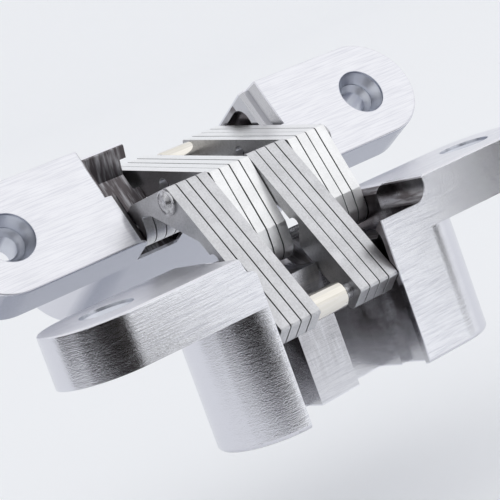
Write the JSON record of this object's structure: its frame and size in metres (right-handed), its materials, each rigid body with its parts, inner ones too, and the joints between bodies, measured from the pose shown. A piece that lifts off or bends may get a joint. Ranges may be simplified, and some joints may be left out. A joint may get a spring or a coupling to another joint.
{
  "type": "concealed scissor hinge",
  "caption": "Concealed cross-link door hinge: two round-ended cast leaves mortised into door and frame, joined by packs of stamped steel links.",
  "frame": {"origin": "half way between the lower leaf's two screw holes, in the plane of its face plate's back, which lies on the mortise's step", "axes": "+Z out of the lower leaf's face, +Y along the leaf and the pins, +X from the knuckle side to the open side of the lower leaf"},
  "size_m": [0.0598, 0.0972, 0.0498],
  "materials": {
    "zinc_casting": "satin plated zinc die casting, faces brushed along the leaf",
    "stamped_steel": "stamped and satin plated steel",
    "pin_steel": "plain drawn steel",
    "roller_nickel": "polished nickel plated"
  },
  "bodies": {
    "lower": {"lower_leaf": "zinc_casting", "lower_pivot_pin": "pin_steel"},
    "pivot_links": {"link_plate_05": "stamped_steel", "link_plate_06": "stamped_steel", "link_plate_07": "stamped_steel", "link_plate_08": "stamped_steel", "link_plate_13": "stamped_steel", "link_plate_14": "stamped_steel", "link_plate_15": "stamped_steel", "link_plate_16": "stamped_steel", "centre_pin": "pin_steel", "upper_slide_pin": "pin_steel", "upper_roller": "roller_nickel"},
    "slide_links": {"link_plate_01": "stamped_steel", "link_plate_02": "stamped_steel", "link_plate_03": "stamped_steel", "link_plate_04": "stamped_steel", "link_plate_09": "stamped_steel", "link_plate_10": "stamped_steel", "link_plate_11": "stamped_steel", "link_plate_12": "stamped_steel", "lower_slide_pin": "pin_steel", "lower_roller": "roller_nickel"},
    "upper": {"upper_leaf": "zinc_casting", "upper_pivot_pin": "pin_steel"}
  },
  "joints": [
    {"name": "main_fold", "type": "hinge", "parent": "lower", "child": "pivot_links", "pos_m": [-0.00625, 0, 0.00585], "axis": [0, -1, 0], "range_deg": [-78.24, 43.38]},
    {"name": "cross_fold", "type": "hinge", "parent": "pivot_links", "child": "slide_links", "pos_m": [-0.00859, 0, 0.01823], "axis": [0, -1, 0], "range_deg": [-22.56, 40.69]},
    {"name": "upper_fold", "type": "hinge", "parent": "slide_links", "child": "upper", "pos_m": [-0.02075, 0, 0.01495], "axis": [0, -1, 0], "range_deg": [-78.24, 43.38]}
  ],
  "couplings": [
    {"joint": "cross_fold", "follows": "main_fold", "ratio": -0.52},
    {"joint": "upper_fold", "follows": "main_fold", "ratio": 1}
  ]
}
